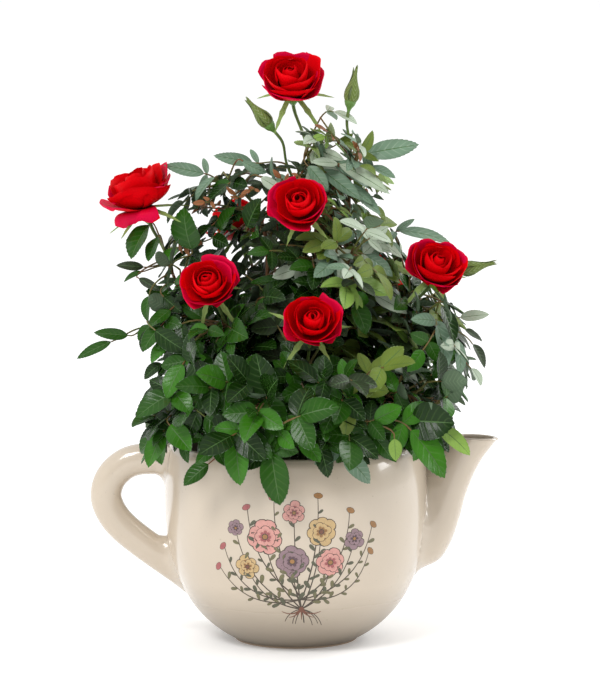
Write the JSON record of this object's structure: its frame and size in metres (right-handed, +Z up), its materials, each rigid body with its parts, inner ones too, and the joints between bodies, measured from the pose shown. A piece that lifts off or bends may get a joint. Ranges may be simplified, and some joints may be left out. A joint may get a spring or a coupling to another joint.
{
  "type": "potted miniature rose bush",
  "caption": "Miniature rose bush with open red blooms and green buds, growing in a cream glazed teapot-shaped planter with a loop handle and a spout.",
  "frame": {"origin": "centre of the pot's flat foot, on its underside", "axes": "+Z up, +X towards the spout and -X towards the handle, -Y towards the side of the bush with most blooms"},
  "size_m": [0.2831, 0.2667, 0.3942],
  "materials": {
    "glaze": "gloss cream glaze",
    "soil": "loose damp compost",
    "cane": "smooth green bark",
    "leaf": "half gloss leaf",
    "petal": "velvety petal"
  },
  "bodies": {
    "root": {"cane_back_high": "cane", "cane_back_left_rim": "cane", "cane_back_low": "cane", "cane_back_right_rim": "cane", "cane_back_rim": "cane", "cane_far_right": "cane", "cane_front_right_rim": "cane", "cane_front_rim": "cane", "cane_high_front": "cane", "cane_high_left": "cane", "cane_high_right": "cane", "cane_left": "cane", "cane_left_low": "cane", "cane_left_rim": "cane", "cane_low_front": "cane", "cane_mid_right": "cane", "cane_middle": "cane", "cane_right": "cane", "cane_right_low": "cane", "cane_right_rim": "cane", "cane_top": "cane", "cane_top_left": "cane", "cane_top_right": "cane", "cane_upper_left": "cane", "leaves_back_high": "leaf", "leaves_back_left_rim": "leaf", "leaves_back_low": "leaf", "leaves_back_right_rim": "leaf", "leaves_back_rim": "leaf", "leaves_far_right": "leaf", "leaves_front_right_rim": "leaf", "leaves_front_rim": "leaf", "leaves_high_front": "leaf", "leaves_high_left": "leaf", "leaves_high_right": "leaf", "leaves_left": "leaf", "leaves_left_low": "leaf", "leaves_left_rim": "leaf", "leaves_low_front": "leaf", "leaves_mid_right": "leaf", "leaves_middle": "leaf", "leaves_right": "leaf", "leaves_right_low": "leaf", "leaves_right_rim": "leaf", "leaves_top": "leaf", "leaves_top_left": "leaf", "leaves_top_right": "leaf", "leaves_upper_left": "leaf", "pot_body": "glaze", "pot_handle": "glaze", "pot_spout": "glaze", "rose_back_high": "petal", "rose_back_low": "petal", "rose_left": "petal", "rose_low_front": "petal", "rose_middle": "petal", "rose_right": "petal", "rose_top": "petal", "rose_upper_left": "petal", "soil": "soil"}
  },
  "joints": []
}
